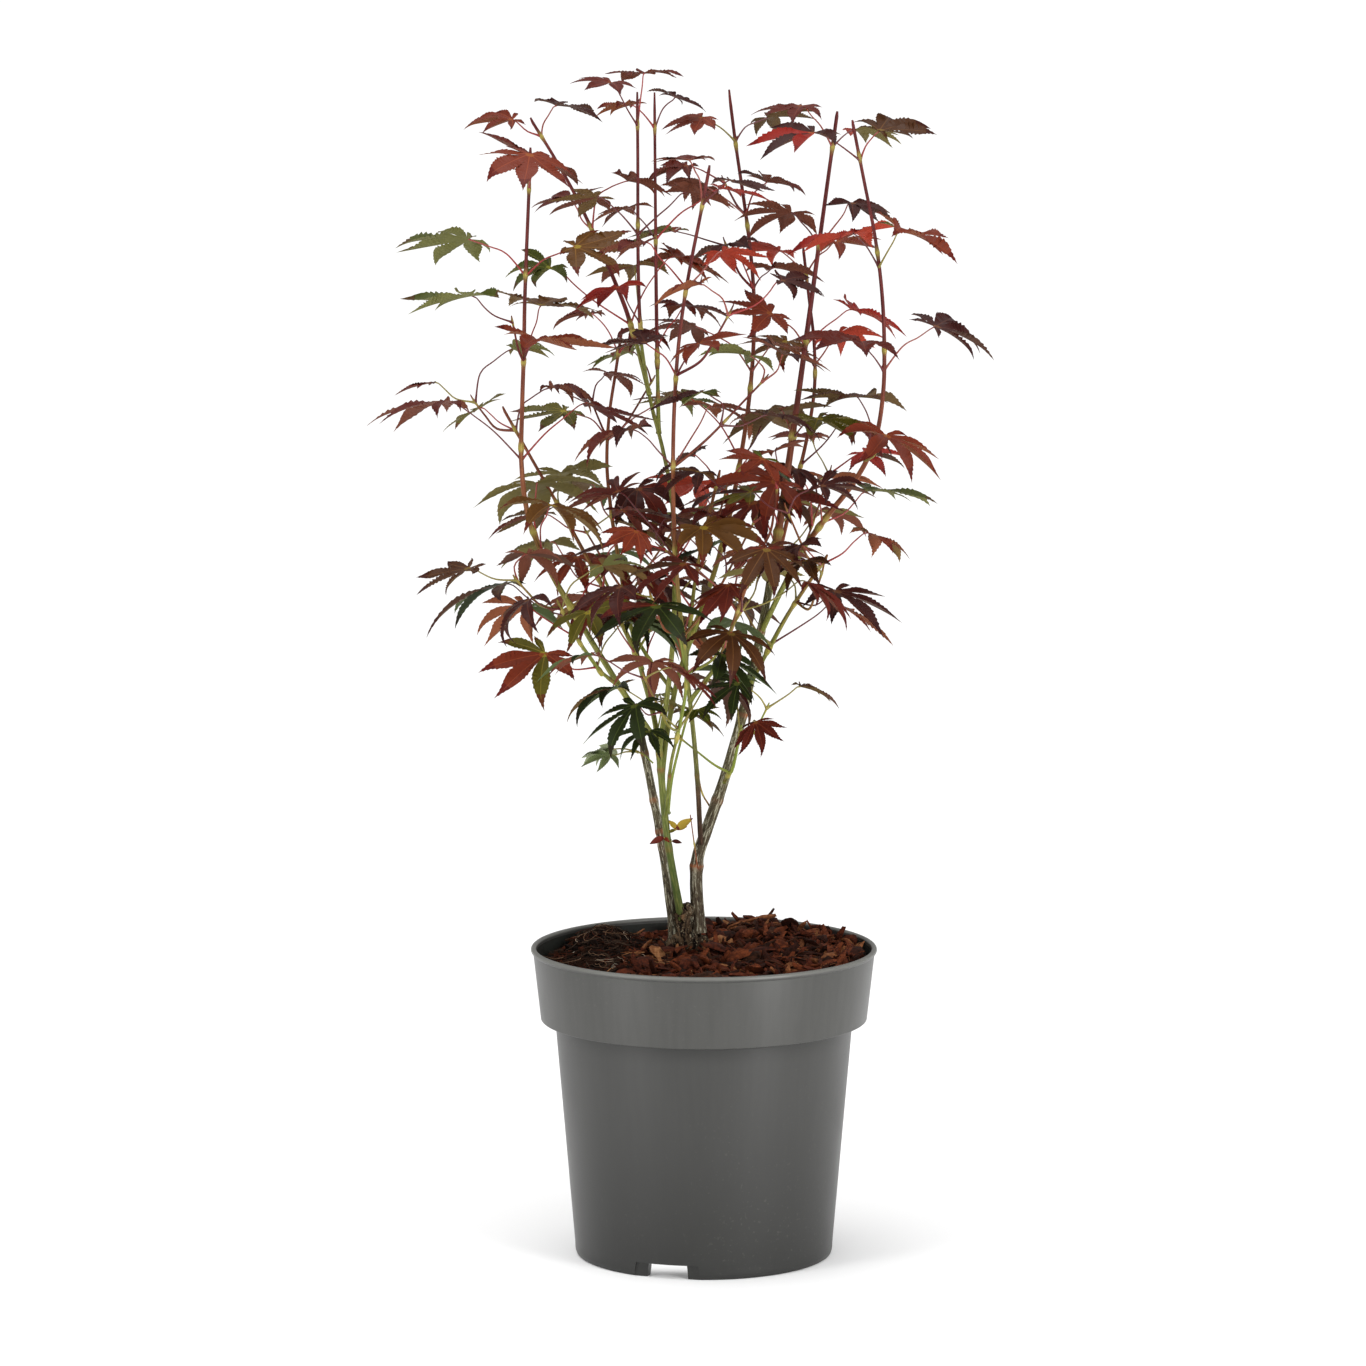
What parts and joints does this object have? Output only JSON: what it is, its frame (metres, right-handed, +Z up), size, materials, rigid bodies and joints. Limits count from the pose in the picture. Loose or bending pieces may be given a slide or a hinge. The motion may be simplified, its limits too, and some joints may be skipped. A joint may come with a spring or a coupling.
{
  "type": "potted japanese maple",
  "caption": "Young Japanese maple with wine-red lobed leaves on upright forking shoots, in a round grey nursery pot with a deep collar.",
  "frame": {"origin": "middle of the flat underside of the pot", "axes": "+Z up along the pot's axis, +X to the plant's right seen from the front, +Y away from the front"},
  "size_m": [0.3467, 0.2819, 0.6478],
  "materials": {
    "pot_plastic": "satin grey moulded plastic",
    "soil": "moist dark potting soil",
    "bark_mulch": "red-brown shredded bark",
    "grey_bark": "rough grey bark with pale streaks",
    "green_bark": "smooth olive-green young bark",
    "foliage": "wine-red leaves on thin red stalks and shoots"
  },
  "bodies": {
    "root": {"back_bough": "green_bark", "back_leaves": "foliage", "bark_mulch": "bark_mulch", "foot_right_bough": "green_bark", "foot_right_leaves": "foliage", "front_bough": "green_bark", "front_leaves": "foliage", "green_stem": "green_bark", "inner_left_bough": "green_bark", "inner_left_leaves": "foliage", "left_bough": "green_bark", "left_leaves": "foliage", "left_stem": "grey_bark", "low_back_bough": "green_bark", "low_back_leaves": "foliage", "low_front_bough": "green_bark", "low_front_leaves": "foliage", "low_left_bough": "green_bark", "low_left_leaves": "foliage", "low_middle_bough": "green_bark", "low_middle_leaves": "foliage", "low_right_bough": "green_bark", "low_right_leaves": "foliage", "middle_bough": "green_bark", "middle_leaves": "foliage", "middle_left_bough": "green_bark", "middle_left_leaves": "foliage", "middle_right_bough": "green_bark", "middle_right_leaves": "foliage", "outer_right_bough": "green_bark", "outer_right_leaves": "foliage", "pot": "pot_plastic", "rear_left_bough": "green_bark", "rear_left_leaves": "foliage", "rear_right_bough": "green_bark", "rear_right_leaves": "foliage", "right_bough": "grey_bark", "right_leaves": "foliage", "root_crown": "grey_bark", "small_front_bough": "green_bark", "small_front_leaves": "foliage", "soil": "soil"}
  },
  "joints": []
}
